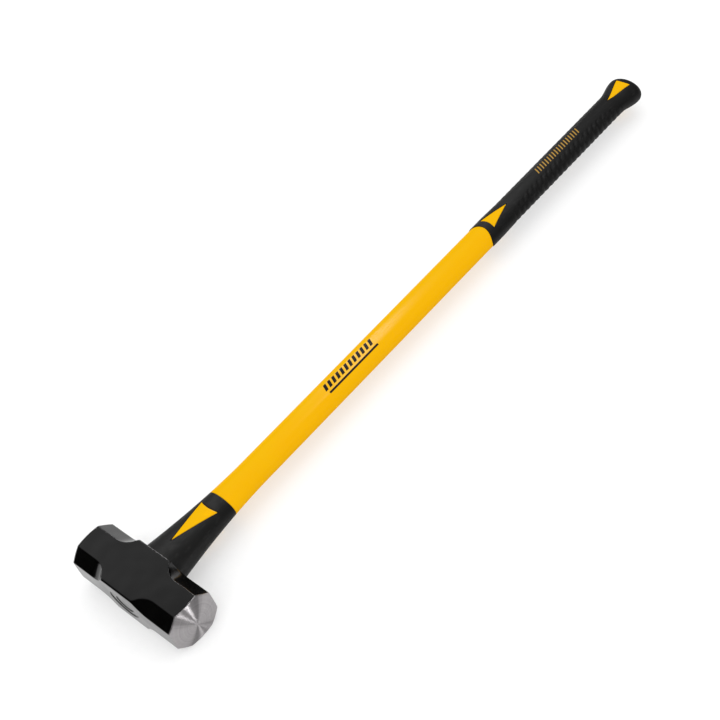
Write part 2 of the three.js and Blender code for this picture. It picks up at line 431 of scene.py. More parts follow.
def window_patch(skin, rings, outline, front):
    """The rectangle of grid to open round an outline on the front (1) or the rear (-1)."""
    x = np.array([[skin.points[i][0] for i in ring] for ring in rings])
    y = np.array([[skin.points[i][1] for i in ring] for ring in rings])
    edge = np.array([skin.points[i] for i in outline])
    low = edge[:, 0].min() - WINDOW_PAD
    high = edge[:, 0].max() + WINDOW_PAD
    columns = [c for c in range(COLUMNS) if front * math.sin(ANGLES[c]) > 0.05]
    first_row = max(r for r in range(len(rings)) if x[r].max() < low)
    last_row = min(r for r in range(len(rings)) if x[r].min() > high and r > first_row)
    reach = np.abs(edge[:, 1]).max() + WINDOW_PAD
    spread = np.abs(y[first_row:last_row + 1]).min(axis=0)
    near = [c for c in columns if spread[c] < reach]
    return Patch(skin, rings, (first_row, last_row), (near[0] - 1, near[-1] + 1), plan)


def cut_window(skin, outer, outer_form, inner, inner_form, window, front):
    """A window through a sleeve, with rounded lips. Returns the grid cells it opened in both skins."""
    rows = []
    for spread, drop in quarter(LIP_STEPS):
        outline = window_outline(window, WINDOW_GAP + WINDOW_LIP * spread)
        rows.append(skin.add([on_oval(outer_form, x, y, front, WINDOW_LIP * drop) for x, y in outline]))
    outline = window_outline(window, WINDOW_GAP)
    rows.append(skin.add([on_oval(inner_form, x, y, front) for x, y in outline]))
    skin.strips(rows)
    cells = []
    for rings, ring in ((outer, rows[0]), (inner, rows[-1])):
        patch = window_patch(skin, rings, ring, front)
        patch.open_round(ring, WINDOW_CLEARANCE)
        cells.append(patch.cells())
    return cells


def cut_windows(skin, outer, outer_form, inner, inner_form, windows):
    """Cuts windows through the front and rear of a sleeve and lays both its skins round them."""
    outer_cells, inner_cells = set(), set()
    for window in windows:
        for front in FRONT_AND_REAR:
            opened = cut_window(skin, outer, outer_form, inner, inner_form, window, front)
            outer_cells |= opened[0]
            inner_cells |= opened[1]
    skin.grid(outer, outer_cells)
    skin.grid(inner, inner_cells)


def raise_boss(skin, rings, root_form, top_form, window, front):
    """A boss with a rounded top edge that stands on the jacket. Returns the grid cells it opened."""
    outline = window_outline(window, 0)
    rows = [skin.add([on_oval(root_form, x, y, front) for x, y in outline])]
    for spread, drop in reversed(quarter(LIP_STEPS)):
        outline = window_outline(window, -BOSS_LIP * spread)
        sunk = BOSS_SETBACK + BOSS_LIP * drop
        rows.append(skin.add([on_oval(top_form, x, y, front, sunk) for x, y in outline]))
    skin.strips(rows)

    def lift(x, y):
        return on_oval(top_form, x, y, front, BOSS_SETBACK)

    cap_loop(skin, rows[-1], plan, lift, BOSS_SPACING)
    patch = window_patch(skin, rings, rows[0], front)
    patch.open_round(rows[0], WINDOW_CLEARANCE)
    return patch.cells()


def raise_bosses(skin, rings, root_form, top_form, windows):
    """Raises bosses on the front and rear of the jacket and lays its skin round them."""
    left_out = set()
    for window in windows:
        for front in FRONT_AND_REAR:
            left_out |= raise_boss(skin, rings, root_form, top_form, window, front)
    skin.grid(rings, left_out)


# ---- head ----

CHAMFER_STEPS = 8
CHEEK_STEPS = 26
FLANK_STEPS = 26
ARC_STEPS = 4
SHOULDER_SAMPLES = 15

# Where the rows of points lie, as distances from the middle of the head
WAIST_ROWS = np.arange(0, 21, 1.4)
SCOOP_ROWS = np.arange(21.6, 48.5, 0.6)
END_ROWS = np.linspace(50.5, 70, 11)
LAST_SHARES = (0.4, 0.75, 0.93, 1.0)     # of the way from the last of them to the crown
CAP_SHARES = (0.75, 0.5, 0.25)           # rings of the head behind a striking face, of its outline
BACK_SHARES = (0.1, 0.5, 0.9, 1.0)       # rings of the back of a striking face
FRONT_SHARES = np.linspace(0.95, 0.03, 30)
RIM_STEPS = 6


def sharp_cut_at(y, edge_break):
    past = np.clip((abs(y) - WAIST_HALF) / SCOOP_LENGTH, 0, 1)
    left = 1 - past
    return edge_break + (CORNER_CUT - edge_break) * (1 - left * left) ** SCOOP_FULLNESS


def corner_cut_at(y, edge_break):
    """Leg of the octagon's corner cuts, with the shoulders of the scoops rounded off."""
    around = y + np.linspace(-SCOOP_SOFTNESS, SCOOP_SOFTNESS, SHOULDER_SAMPLES)
    return float(np.mean(sharp_cut_at(around, edge_break)))


def head_outline(y):
    """(x, z) points round the octagonal section at y, with rounded corners."""
    eye_cut = corner_cut_at(y, EYE_SIDE_BREAK)
    cut = corner_cut_at(y, COLLAR_SIDE_BREAK)
    corners = [Vector(c) for c in (
        (-SIDE, eye_cut), (-SIDE, CHEEK - eye_cut), (eye_cut - SIDE, CHEEK), (SIDE - cut, CHEEK),
        (SIDE, CHEEK - cut), (SIDE, cut), (SIDE - cut, 0), (eye_cut - SIDE, 0),
    )]
    steps = [FLANK_STEPS, CHAMFER_STEPS, CHEEK_STEPS, CHAMFER_STEPS] * 2
    eased = HEAD_EDGE * math.tan(math.pi / 8)
    points = []
    for i, corner in enumerate(corners):
        before, after = corners[i - 1], corners[(i + 1) % 8]
        start = corner + (before - corner).normalized() * eased
        end = corner + (after - corner).normalized() * eased
        for step in range(ARC_STEPS):
            t = step / ARC_STEPS
            points.append(start * (1 - t) ** 2 + corner * (2 * t * (1 - t)) + end * t ** 2)
        stop = after + (corner - after).normalized() * eased
        points += [end.lerp(stop, step / steps[i]) for step in range(steps[i])]
    return np.array(points)


FLANK_START = ARC_STEPS
FAR_FLANK_START = FLANK_STEPS + CHAMFER_STEPS + CHEEK_STEPS + CHAMFER_STEPS + 5 * ARC_STEPS


def crown_at(x, z):
    """Reach of the domed striking faces from the middle of the head."""
    return FACE_REACH - CROWN_RADIUS + np.sqrt(CROWN_RADIUS ** 2 - x ** 2 - (z - MIDDLE_Z) ** 2)


def head_rows():
    half = [*WAIST_ROWS[1:], *SCOOP_ROWS, *END_ROWS]
    places = [*[-y for y in reversed(half)], 0, *half]
    rows = [np.insert(head_outline(y), 1, y, axis=1) for y in places]
    start = END_ROWS[-1]
    last = head_outline(FACE_REACH)
    reach = crown_at(last[:, 0], last[:, 1]) - FACE_SKIN - SEAM
    for share in LAST_SHARES:
        y = start + (reach - start) * share
        rows.append(np.stack([last[:, 0], y, last[:, 1]], axis=1))
        rows.insert(0, np.stack([last[:, 0], -y, last[:, 1]], axis=1))
    return rows


def eye_at(x):
    share = (x / SIDE) ** 2
    return tuple(t + (m - t) * share for t, m in zip(EYE_THROAT, EYE_MOUTH))


EYE_POINTS = 112
EYE_ANGLES = np.arange(EYE_POINTS) * (2 * math.pi / EYE_POINTS)
EYE_ROWS = 18
EYE_LIP_STEPS = 5
EYE_PATCH_ROWS = 17        # rows on each side of the middle that open round the eye
EYE_PATCH_MARGIN = 2       # columns at each edge of a flank that stay closed
EYE_CLEARANCE = 0.5


def eye_ring(x, oval):
    a, b = oval
    return [(x, a * math.cos(t), MIDDLE_Z + b * math.sin(t)) for t in EYE_ANGLES]


def eye_lip(skin, side, steps):
    """Rings of the eye's rounded lip, on the eye side (-1) or the collar side (1) of the head."""
    rings = []
    for spread, drop in steps:
        depth = SIDE - EYE_LIP * drop
        rings.append(skin.add(eye_ring(side * depth, shrink(eye_at(depth), -EYE_LIP * spread))))
    return rings


def make_head():
    skin = Skin()
    rings = [skin.add(row) for row in head_rows()]
    rows = eye_lip(skin, -1, quarter(EYE_LIP_STEPS))
    for x in np.linspace(-SIDE + 2 * EYE_LIP, SIDE - 2 * EYE_LIP, EYE_ROWS):
        rows.append(skin.add(eye_ring(x, eye_at(x))))
    rows += eye_lip(skin, 1, reversed(quarter(EYE_LIP_STEPS)))
    skin.strips(rows)
    middle = len(rings) // 2
    row_span = (middle - EYE_PATCH_ROWS, middle + EYE_PATCH_ROWS)
    left_out = set()
    for start, ring in ((FLANK_START, rows[0]), (FAR_FLANK_START, rows[-1])):
        columns = (start + EYE_PATCH_MARGIN, start + FLANK_STEPS - EYE_PATCH_MARGIN)
        patch = Patch(skin, rings, row_span, columns, lambda p: (p[1], p[2]))
        patch.open_round(ring, EYE_CLEARANCE)
        left_out |= patch.cells()
    skin.grid(rings, left_out)
    for ring, end in ((rings[0], -1), (rings[-1], 1)):
        inner = ring
        for share in CAP_SHARES:
            inner_points = []
            for i in ring:
                x, _, z = skin.points[int(i)]
                x, z = x * share, MIDDLE_Z + (z - MIDDLE_Z) * share
                inner_points.append((x, end * (crown_at(x, z) - FACE_SKIN - SEAM), z))
            following = skin.add(inner_points)
            skin.strip(inner, following)
            inner = following
        skin.fan(inner, (0, end * (FACE_REACH - FACE_SKIN - SEAM), MIDDLE_Z))
    return skin.to_object("head_forging")


def make_face(name, end):
    """The bare turned steel of one striking face, with a rounded rim."""
    skin = Skin()
    outline = head_outline(FACE_REACH)
    radius = np.hypot(outline[:, 0], outline[:, 1] - MIDDLE_Z).mean()

    def ring(scale, sunk):
        x = outline[:, 0] * scale
        z = MIDDLE_Z + (outline[:, 1] - MIDDLE_Z) * scale
        return skin.add(np.stack([x, end * (crown_at(x, z) - sunk), z], axis=1))

    rings = [ring(share, FACE_SKIN) for share in BACK_SHARES]
    for inset, sunk in reversed(quarter(RIM_STEPS)):
        rings.append(ring(1 - RIM_RADIUS * inset / radius, RIM_RADIUS * sunk))
    rings += [ring(share, 0) for share in FRONT_SHARES]
    skin.strips(rings)
    skin.fan(rings[0], (0, end * (FACE_REACH - FACE_SKIN), MIDDLE_Z))
    skin.fan(rings[-1], (0, end * FACE_REACH, MIDDLE_Z))
    return skin.to_object(name)


# ---- handle ----

END_EASE = 0.45            # rounding of the sleeves' ends
SLEEVE_GAP = 0.1           # visible groove between a sleeve and the jacket beyond it
COLLAR_FOOT = 1.1          # rounding of the collar's foot against the head
COLLAR_FOOT_STEPS = 5
BUTT_WALL = 2              # closed end of the jacket beyond the core rod
HIDDEN_START = 1.5         # from the grip's last edge to the first level ring under it
RIDGES_START = 3           # from the same edge to the first ridged ring

# Rings along each stretch of the handle
COLLAR_ROWS = 100
COLLAR_BORE_ROWS = 70
UNDER_COLLAR_ROWS = 74
FLARE_ROWS = 30
SHAFT_ROWS = 150
UNDER_GRIP_ROWS = 190
GRIP_START_ROWS = 14
GRIP_PITCH = 0.6           # between the rings of the ridged stretch, in millimetres
NECK_ROWS = 46
KNOB_ROWS = 22


def make_collar():
    """The rubber sleeve that guards the handle just below the head."""
    skin = Skin()
    start, end = SIDE + SEAM, COLLAR_HIGH.x
    rows = []
    for inset, back in reversed(quarter(COLLAR_FOOT_STEPS)):
        x = start + COLLAR_FOOT * inset
        rows.append(oval_row(x, shrink(flare_at(x), COLLAR_FOOT * back)))
    for x in np.linspace(start + COLLAR_FOOT, end - END_EASE, COLLAR_ROWS)[1:-1]:
        rows.append(oval_row(x, flare_at(x)))
    for inset, back in quarter(LIP_STEPS):
        x = end - END_EASE * inset
        rows.append(oval_row(x, shrink(flare_at(x), END_EASE * back)))
    outer = [skin.add(row) for row in rows]
    inner = [skin.add(oval_row(x, collar_bore(x))) for x in np.linspace(start, end, COLLAR_BORE_ROWS)]
    cut_windows(skin, outer, flare_at, inner, collar_bore, [COLLAR_WINDOW])
    skin.strip(outer[-1], inner[-1])
    skin.strip(inner[0], outer[0])
    return skin.to_object("collar_sleeve")


def collar_bore(x):
    return shrink(flare_at(x), COLLAR_WALL)


def under_collar(x):
    return shrink(collar_bore(x), INNER_GAP)


def grip_bore(x):
    return shrink(SHAFT, GRIP_WALL)


def under_grip(x):
    return shrink(SHAFT, GRIP_WALL + INNER_GAP)


def make_jacket():
    """The yellow jacket with the bosses that show through the windows of collar and grip."""
    skin = Skin()
    bore = shrink(CORE, -INNER_GAP)
    start = JACKET_LOW.x
    shoulder = COLLAR_HIGH.x + SLEEVE_GAP
    end = CORE_HIGH.x + BUTT_WALL
    below = [skin.add(oval_row(x, under_collar(x))) for x in np.linspace(start, shoulder, UNDER_COLLAR_ROWS)]
    rows = []
    for inset, back in reversed(quarter(LIP_STEPS)):
        x = shoulder + END_EASE * inset
        rows.append(oval_row(x, shrink(flare_at(x), END_EASE * back)))
    for x in np.linspace(shoulder + END_EASE, FLARE_END, FLARE_ROWS)[1:]:
        rows.append(oval_row(x, flare_at(x)))
    edge = grip_edge(ANGLES) - SLEEVE_GAP
    for share in np.linspace(0, 1, SHAFT_ROWS)[1:-1]:
        rows.append(oval_row(FLARE_END + (edge - END_EASE - FLARE_END) * share, SHAFT))
    for inset, back in quarter(LIP_STEPS):
        rows.append(oval_row(edge - END_EASE * inset, shrink(SHAFT, END_EASE * back)))
    shown = [skin.add(row) for row in rows]
    hidden = [skin.add(oval_row(edge, under_grip(0)))]
    for x in np.linspace(GRIP_LOW.x + GRIP_TONGUE + HIDDEN_START, end, UNDER_GRIP_ROWS):
        hidden.append(skin.add(oval_row(x, under_grip(x))))
    core = [skin.add(oval_row(x, bore)) for x in (end, start)]
    raise_bosses(skin, below, under_collar, flare_at, [COLLAR_WINDOW])
    raise_bosses(skin, hidden, under_grip, grip_at, [GRIP_WINDOW, BUTT_WINDOW])
    skin.grid(shown)
    for near, far in ((below[-1], shown[0]), (shown[-1], hidden[0]), (hidden[-1], core[0]),
                      (core[0], core[1]), (core[1], below[0])):
        skin.strip(near, far)
    return skin.to_object("jacket_moulding")


RIDGE_PITCH = 9.6
RIDGE_DEPTH = 0.5
RIDGE_SWEEP = 12           # how far a ridge leans along the handle on its way round
RIDGE_MIDDLE = 722
RIDGE_REACH = 112          # half the length of the ridged stretch
RIDGE_FADE = (0.93, 1.03)  # where the ridges die out, as shares of that reach
RIDGE_LEAN = 1.25          # 1 would put the crest of a ridge halfway between its valleys
VALLEY_SHARPNESS = 2.2
PANEL_HALF = 6.0           # half-width of the smooth panels, round the girth
PANEL_SPREAD = 9.0         # how much wider they are at the ends of the ridged stretch
PANEL_FADE = 3.5


def girth_from_panel():
    """Distance round the shaft from the middle of the nearer broad side, for each column."""
    fine = np.linspace(0, math.pi / 2, 400)
    step = np.hypot(SHAFT[0] * np.cos(fine), SHAFT[1] * np.sin(fine)) * (fine[1] - fine[0])
    travelled = np.concatenate([[0], np.cumsum(step[1:])])
    off_middle = np.abs(np.mod(ANGLES, math.pi) - math.pi / 2)
    return np.interp(off_middle, fine, travelled)


GIRTH = girth_from_panel()


def ease(value, low, high):
    share = np.clip((value - low) / (high - low), 0, 1)
    return share * share * (3 - 2 * share)


def ridge_phase(x):
    sweep = RIDGE_SWEEP * (0.5 - 0.5 * np.cos(np.pi * GIRTH / GIRTH.max()))
    return (x + sweep) / RIDGE_PITCH


def ridge_mask(x):
    off = np.abs(x - RIDGE_MIDDLE) / RIDGE_REACH
    edge = PANEL_HALF + PANEL_SPREAD * np.minimum(off, 1.2) ** 5
    return ease(GIRTH, edge, edge + PANEL_FADE) * (1 - ease(off, *RIDGE_FADE))


def grip_relief(x):
    """Swept finger ridges: rounded lobes between narrow valleys."""
    share = np.mod(ridge_phase(x), 1.0) ** RIDGE_LEAN
    valley = (0.5 + 0.5 * np.cos(2 * np.pi * share)) ** VALLEY_SHARPNESS
    return -RIDGE_DEPTH * ridge_mask(x) * valley


def make_grip():
    """The rubber grip with its knob, closed at the butt."""
    skin = Skin()
    start = grip_edge(ANGLES)
    level = GRIP_LOW.x + GRIP_TONGUE + RIDGES_START
    rows, places = [], []

    def lay(x, oval, relief=0.0):
        rows.append(oval_row(x, oval, relief))
        places.append(np.broadcast_to(x, ANGLES.shape))

    for inset, back in reversed(quarter(LIP_STEPS)):
        x = start + END_EASE * inset
        lay(x, shrink(grip_at(x), END_EASE * back))
    for share in np.linspace(0, 1, GRIP_START_ROWS)[1:]:
        x = start + END_EASE + (level - start - END_EASE) * share
        lay(x, grip_at(x))
    for x in np.arange(level + GRIP_PITCH, NECK_START, GRIP_PITCH):
        lay(x, grip_at(x), grip_relief(x))
    for x in np.linspace(NECK_START, KNOB_X, NECK_ROWS):
        lay(x, knob_at(x))
    for turn in np.linspace(0, math.pi / 2, KNOB_ROWS)[1:]:
        x = KNOB_X + (GRIP_HIGH.x - KNOB_X) * math.sin(turn)
        lay(x, knob_at(x))
    outer = [skin.add(row) for row in rows]
    phase = [ridge_phase(x) for x in places]
    mask = [ridge_mask(x) for x in places]
    end = CORE_HIGH.x + BUTT_WALL + INNER_GAP
    inner = [skin.add(oval_row(start, grip_bore(0)))]
    for x in np.linspace(level - (RIDGES_START - HIDDEN_START), end, UNDER_GRIP_ROWS):
        inner.append(skin.add(oval_row(x, grip_bore(x))))
    cut_windows(skin, outer, grip_at, inner, grip_bore, [GRIP_WINDOW, BUTT_WINDOW])
    skin.strip(inner[0], outer[0])
    shut(skin, outer[-1])
    shut(skin, inner[-1])
    return skin.to_object("grip_sleeve", ridge_phase=np.concatenate(phase), ridge_mask=np.concatenate(mask))


SHUT_SHARES = (0.85, 0.65, 0.45, 0.25, 0.1)


def shut(skin, ring):
    """Closes an oval ring across the handle with shrinking rings and a fan."""
    points = np.array([skin.points[int(i)] for i in ring])
    middle = points.mean(axis=0)
    near = ring
    for share in SHUT_SHARES:
        far = skin.add(middle + (points - middle) * share)
        skin.strip(near, far)
        near = far
    skin.fan(near, middle)


RESIN_DEPTH = 0.65         # from the side of the head to the rim of the resin
RESIN_DISH = 0.65          # how far the middle of the resin has sunk below its rim
RESIN_CLIMB = 0.15         # how far the rim's outer edge stands above the rest of the rim
RESIN_CLIMB_RATE = 60      # how fast that dies away, per share of the eye's width
RESIN_ROWS = 24
STEP_SHARE = 0.62          # where the step down to the middle starts, as a share of the eye's width
STEP_LEAN = 0.012
STEP_ROWS = 9
ROOF_SHARES = (0.1, 0.5, 1.0)            # rings over the end of the core rod
RIM_SHARES = (0.985, 0.965, 0.94, 0.9, 0.84, 0.76, 0.68, 0.64)
DISH_SHARES = (0.59, 0.5, 0.4, 0.3, 0.2, 0.1, 0.04)


def make_resin():
    """The poured filling of the eye: a rim that climbs the wall of the eye round a sunken middle."""
    skin = Skin()
    top = -SIDE + RESIN_DEPTH
    bottom = DAM_LOW.x - INNER_GAP
    inner = shrink(CORE, -INNER_GAP)
    roof = CORE_LOW.x - INNER_GAP

    def ring(x, share):
        a, b = shrink(eye_at(top), SEAM)
        return eye_ring(x, (a * share, b * share))

    rings = [skin.add(eye_ring(roof, (inner[0] * s, inner[1] * s))) for s in ROOF_SHARES]
    rings.append(skin.add(eye_ring(bottom, inner)))
    for x in np.linspace(bottom, top - 0.1, RESIN_ROWS):
        rings.append(skin.add(eye_ring(x, shrink(eye_at(x), SEAM))))
    for share in RIM_SHARES:
        climb = math.exp(-(1 - share) * RESIN_CLIMB_RATE) * RESIN_CLIMB
        rings.append(skin.add(ring(top - climb, share)))
    for turn in np.linspace(0, math.pi, STEP_ROWS):
        sunk = RESIN_DISH * (1 - math.cos(turn)) / 2
        rings.append(skin.add(ring(top + sunk, STEP_SHARE - STEP_LEAN * turn / math.pi)))
    for share in DISH_SHARES:
        rings.append(skin.add(ring(top + RESIN_DISH, share)))
    skin.strips(rings)
    skin.fan(rings[0], (roof, 0, MIDDLE_Z))
    skin.fan(rings[-1], (top + RESIN_DISH, 0, MIDDLE_Z))
    return skin.to_object("eye_filling")


# ---- material tools ----

class Nodes:
    """Short ways to add and join the nodes of a tree. Numbers and sockets both do as inputs."""

    def __init__(self, tree):
        self.tree = tree
        self.tree.nodes.clear()

    def node(self, kind, inputs=None, **settings):
        made = self.tree.nodes.new("ShaderNode" + kind)
        for key, value in settings.items():
            setattr(made, key, value)
        for key, value in (inputs or {}).items():
            self.feed(made.inputs[key], value)
        return made

    def feed(self, socket, value):
        if isinstance(value, bpy.types.NodeSocket):
            self.tree.links.new(value, socket)
        else:
            socket.default_value = value


class Graph(Nodes):
    """A node material."""

    def __init__(self, name):
        self.material = bpy.data.materials.new(name)
        self.material.use_nodes = True
        super().__init__(self.material.node_tree)
        self.shader = self.node("BsdfPrincipled")
        self.node("OutputMaterial", {"Surface": self.shader.outputs["BSDF"]})

    def math(self, operation, *values, clamp=False):
        made = self.node("Math", dict(enumerate(values)), operation=operation, use_clamp=clamp)
        return made.outputs[0]

    def plus(self, first, second):
        return self.math("ADD", first, second)

    def times(self, first, second):
        return self.math("MULTIPLY", first, second)

    def place(self):
        """Object coordinates in millimetres."""
        coordinates = self.node("TexCoord").outputs["Object"]
        return self.stretched(coordinates, (1000, 1000, 1000))

    def stretched(self, vector, scale):
        made = self.node("VectorMath", {0: vector, 1: scale}, operation="MULTIPLY")
        return made.outputs[0]

    def noise(self, vector, scale, detail=3.0, roughness=0.5, distortion=0.0):
        inputs = {"Vector": vector, "Scale": scale, "Detail": detail, "Roughness": roughness,
                  "Distortion": distortion}
        return self.node("TexNoise", inputs).outputs["Fac"]

    def cells(self, vector, scale):
        return self.node("TexVoronoi", {"Vector": vector, "Scale": scale}).outputs["Distance"]

    def between(self, value, low, high, to_low=0.0, to_high=1.0):
        """Maps low..high to to_low..to_high smoothly, and holds the ends."""
        inputs = {"Value": value, "From Min": low, "From Max": high, "To Min": to_low, "To Max": to_high}
        return self.node("MapRange", inputs, interpolation_type="SMOOTHSTEP").outputs["Result"]

    def blend(self, share, first, second):
        made = self.node("Mix", data_type="RGBA")
        for socket, value in zip((made.inputs[0], made.inputs[6], made.inputs[7]), (share, first, second)):
            self.feed(socket, value)
        return made.outputs[2]

    def split(self, vector):
        made = self.node("SeparateXYZ", {0: vector})
        return made.outputs[0], made.outputs[1], made.outputs[2]

    def bump(self, height_mm, normal=None):
        """Turns a height in millimetres into a normal."""
        inputs = {"Height": height_mm, "Distance": MM, "Strength": 1.0}
        if normal is not None:
            inputs["Normal"] = normal
        return self.node("Bump", inputs).outputs["Normal"]

    def pointed(self, low, high):
        """1 on sharp outer edges, 0 on flats."""
        return self.between(self.node("NewGeometry").outputs["Pointiness"], low, high)

    def set(self, **values):
        for name, value in values.items():
            self.feed(self.shader.inputs[name.replace("_", " ")], value)


def grey(value, warmth=0.0):
    return (value * (1 + warmth), value, value * (1 - warmth), 1)


def make_enamel():
    g = Graph("gloss_enamel")
    place = g.place()
    cloud = g.noise(place, 0.04, 3)
    grain = g.noise(place, 1.6, 2)
    worn = g.times(g.pointed(0.53, 0.62), g.between(g.noise(place, 0.35, 5), 0.5, 0.62))
    colour = g.blend(cloud, grey(0.0003, 0.04), grey(0.001, 0.03))
    colour = g.blend(g.times(worn, 0.5), colour, grey(0.2, 0.02))
    rough = g.between(g.noise(place, 0.12, 4), 0.3, 0.7, 0.09, 0.14)
    rough = g.plus(rough, g.times(worn, 0.25))
    peel = g.times(g.noise(place, 0.55, 2), 0.006)
    waves = g.times(g.noise(place, 0.03, 1), 0.8)
    dust = g.times(grain, 0.0012)
    height = g.plus(g.plus(peel, waves), dust)
    g.set(Base_Color=colour, Roughness=rough, Normal=g.bump(height), Specular_IOR_Level=0.37)
    return g.material


DARK_STEEL = (0.28, 0.267, 0.272, 1)
LIGHT_STEEL = (0.46, 0.441, 0.448, 1)
PAINTED_SHADE_SECTOR = (0.55, 0.95)  # how sideways a spot lies where the sectors of painted shade end, 1 being straight along X
PAINTED_SHADE_DARKENING = 0.42       # how far the painted shade blends them to black, under any light


def make_turned_steel():
    """Facing marks run round the middle of the face, so its highlights fan out from there. The colour also
    holds painted reflection: random streaks along the spokes, and sectors of painted shade either side of Z
    that stand in for the dark reflections beside the highlights.
    """
    g = Graph("turned_steel")
    place = g.place()
    x, y, z = g.split(place)
    up = g.math("SUBTRACT", z, MIDDLE_Z)
    radius = g.math("SQRT", g.plus(g.times(x, x), g.times(up, up)))
    wander = g.times(g.noise(place, 0.12, 2), 0.5)
    track = g.node("CombineXYZ", {0: g.plus(radius, wander)}).outputs[0]
    broad = g.noise(track, 0.5, 3, 0.6)
    fine = g.noise(track, 3.2, 4, 0.7)
    spoke_x, spoke_z = g.math("DIVIDE", x, radius), g.math("DIVIDE", up, radius)
    spoke = g.node("CombineXYZ", {0: spoke_x, 2: spoke_z}).outputs[0]
    # Painted sheen: random streaks along the spokes lighten and darken the colour
    sweep = g.noise(spoke, 7.0, 4, 0.65)
    tone = g.plus(g.times(broad, 0.4), g.times(fine, 0.35))
    tone = g.plus(tone, g.times(sweep, 0.25))
    colour = g.blend(g.between(tone, 0.3, 0.7), DARK_STEEL, LIGHT_STEEL)
    # Painted shade: the sectors either side of Z are darkened in the colour, standing in for the dark
    # reflections beside the streaks
    sideways = g.math("ABSOLUTE", spoke_x)
    fan = g.between(g.plus(sideways, g.times(sweep, 0.3)), *PAINTED_SHADE_SECTOR)
    colour = g.blend(fan, g.blend(PAINTED_SHADE_DARKENING, colour, (0, 0, 0, 1)), colour)
    rough = g.between(tone, 0.3, 0.7, 0.35, 0.41)
    height = g.plus(g.times(fine, 0.012), g.times(broad, 0.02))
    tangent = g.node("Tangent", direction_type="RADIAL", axis="Y").outputs[0]
    g.set(Base_Color=colour, Metallic=1.0, Roughness=rough, Anisotropic=1.0,
          Anisotropic_Rotation=0.25, Tangent=tangent, Normal=g.bump(height))
    return g.material


def band(g, value, low, high, soft=0.12):
    """1 between low and high, with soft edges."""
    rise = g.between(value, low - soft, low + soft)
    fall = g.between(value, high - soft, high + soft, 1, 0)
    return g.times(rise, fall)


def mould_seam(g, z):
    """1 along the line where the halves of the mould met, halfway between the broad sides."""
    return band(g, z, MIDDLE_Z - 0.2, MIDDLE_Z + 0.2, 0.15)


BAR_SLANT = 0.45


def slanted_bars(g, x, y, start, end, low, high, pitch, width):
    """A plain row of slanted bars along x: a generic printed mark."""
    slid = g.math("SUBTRACT", g.math("SUBTRACT", x, start), g.times(y, BAR_SLANT))
    within = g.math("MODULO", slid, pitch)
    bars = band(g, within, 0.2, width)
    area = g.times(band(g, slid, 0.1, end - start), band(g, y, low, high))
    return g.times(bars, area)


PRINT = {"start": 285.5, "end": 367.5, "low": -4.2, "high": 5.2, "pitch": 6.9, "width": 4.3}
PRINT_RULE = (-9.4, -7.0)  # the plain line under the bars
YELLOW = (0.67, 0.376, 0.0006, 1)
# The deeper yellow serves both random mottling and painted shade on the -Y side
MOTTLED_AND_SHADED_YELLOW = (0.69, 0.336, 0.0004, 1)


def make_yellow():
    g = Graph("yellow_polypropylene")
    place = g.place()
    x, y, z = g.split(place)
    drawn = g.noise(g.stretched(place, (0.03, 1, 1)), 0.5, 4)
    cloud = g.noise(place, 0.03, 3)
    # Painted shade: the colour turns deeper orange towards -Y, the side in shade
    side = g.between(y, 4, -16)
    tone = g.plus(g.times(cloud, 0.5), g.times(drawn, 0.25))
    tone = g.math("ADD", tone, g.times(side, 0.35), clamp=True)
    colour = g.blend(tone, YELLOW, MOTTLED_AND_SHADED_YELLOW)
    speck = g.between(g.cells(place, 0.22), 0.03, 0.06, 1, 0)
    speck = g.times(speck, g.between(g.noise(place, 0.05, 2), 0.55, 0.7))
    colour = g.blend(g.times(speck, 0.35), colour, (0.35, 0.17, 0.01, 1))
    bars = slanted_bars(g, x, y, **PRINT)
    rule = g.times(band(g, x, PRINT["start"], PRINT["end"]), band(g, y, *PRINT_RULE))
    mark = g.math("MAXIMUM", bars, rule)
    front = g.between(z, MIDDLE_Z - 1, MIDDLE_Z + 1)
    ink = g.times(g.times(mark, front), g.between(g.noise(place, 1.2, 3), 0.2, 0.34))
    colour = g.blend(ink, colour, grey(0.012, 0.05))
    rough = g.between(g.noise(place, 0.2, 4), 0.3, 0.7, 0.34, 0.44)
    seam = mould_seam(g, z)
    height = g.times(g.noise(place, 1.1, 3), 0.012)
    height = g.plus(height, g.times(drawn, 0.03))
    height = g.plus(height, g.times(seam, 0.06))
    coat = g.between(ink, 0, 1, 0.1, 0.02)
    g.set(Base_Color=colour, Roughness=rough, Normal=g.bump(height), Specular_IOR_Level=0.0,
          Coat_Weight=coat, Coat_Roughness=0.17)
    return g.material


RUBBER_GLOSS = 0.14        # specular level of both rubbers


def rubber_base(g, place):
    """Colour, roughness and height of satin black rubber."""
    cloud = g.noise(place, 0.05, 4)
    scuff = g.noise(g.stretched(place, (0.25, 1, 1)), 0.35, 5, 0.6)
    bloom = g.between(scuff, 0.52, 0.75)
    colour = g.blend(cloud, grey(0.003, 0.02), grey(0.0052, 0.02))
    colour = g.blend(g.times(bloom, 0.35), colour, grey(0.022, 0.03))
    rough = g.between(g.noise(place, 0.15, 4), 0.3, 0.7, 0.43, 0.56)
    grain = g.times(g.cells(place, 2.2), 0.016)
    fine = g.times(g.noise(place, 5.0, 2), 0.006)
    return colour, rough, g.plus(grain, fine)


def make_rubber():
    g = Graph("black_rubber")
    place = g.place()
    colour, rough, height = rubber_base(g, place)
    _, _, z = g.split(place)
    seam = mould_seam(g, z)
    height = g.plus(height, g.times(seam, 0.07))
    g.set(Base_Color=colour, Roughness=rough, Normal=g.bump(height), Specular_IOR_Level=RUBBER_GLOSS)
    return g.material


GRIP_MARK = {"start": 680.5, "end": 767.5, "low": -3.6, "high": 6.4, "pitch": 4.9, "width": 1.9}
GOLD = (0.36, 0.2, 0.025, 1)
RIBS_PER_RIDGE = 6


